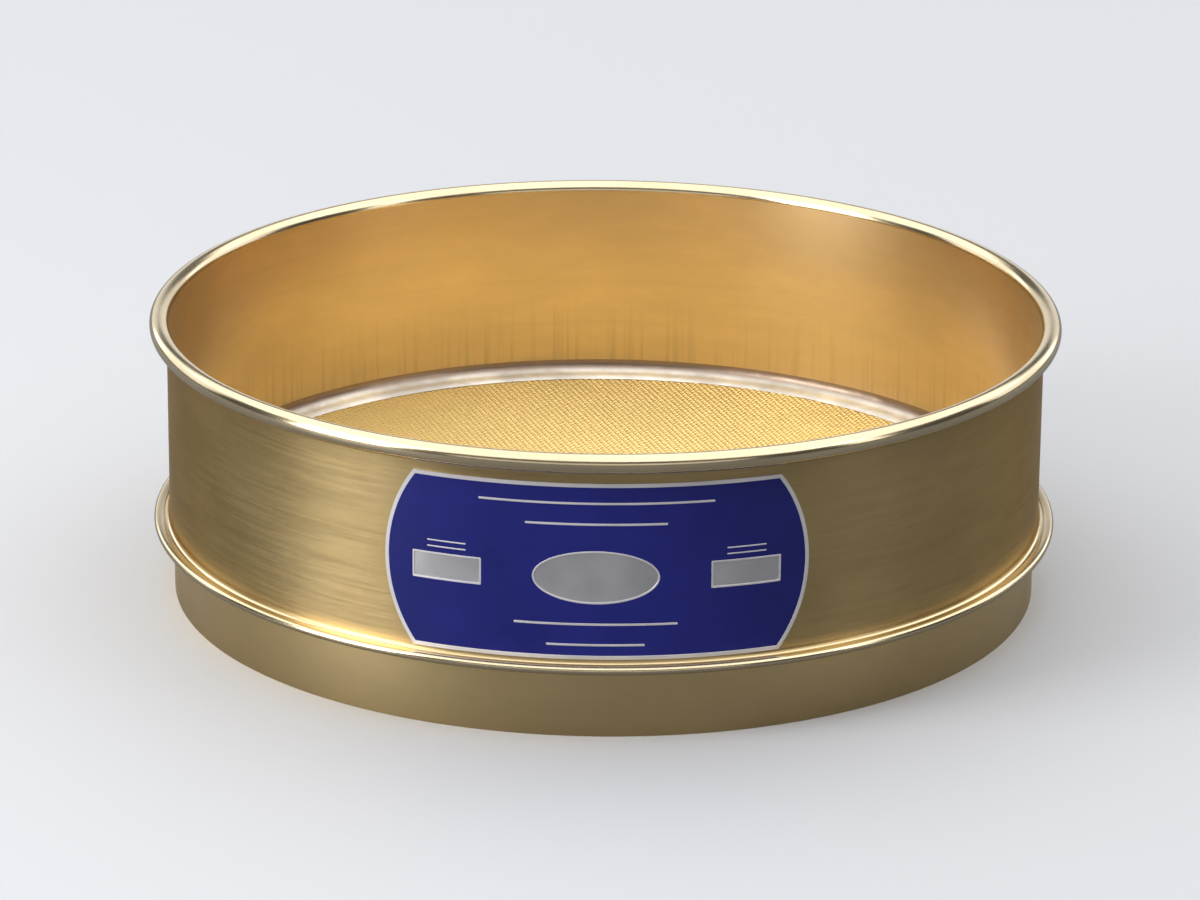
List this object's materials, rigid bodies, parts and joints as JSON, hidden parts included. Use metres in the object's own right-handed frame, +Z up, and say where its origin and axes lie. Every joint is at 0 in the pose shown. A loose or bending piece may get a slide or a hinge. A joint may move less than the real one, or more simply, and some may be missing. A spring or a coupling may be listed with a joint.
{
  "type": "test sieve",
  "caption": "Round brass laboratory sieve with a rolled rim, a hemmed shoulder, a stacking skirt and a fine wire cloth soldered in.",
  "frame": {"origin": "centre of the lower edge of the skirt, on the surface the sieve stands on", "axes": "+Z up along the sieve's axis, out of its open rim; -Y towards the label"},
  "size_m": [0.2122, 0.2122, 0.0667],
  "materials": {
    "wall_brass": "satin, with a bright rolled rim",
    "skirt_brass": "bright, lightly polished",
    "cloth_brass": "fine woven wire",
    "solder": "bright solder, slightly uneven",
    "label_metal": "satin",
    "label_blue": "gloss enamel"
  },
  "bodies": {
    "root": {"upper_frame": "wall_brass", "lower_skirt": "skirt_brass", "wire_cloth": "cloth_brass", "solder_ring": "solder", "label_plate": "label_metal", "label_enamel": "label_blue"}
  },
  "joints": []
}
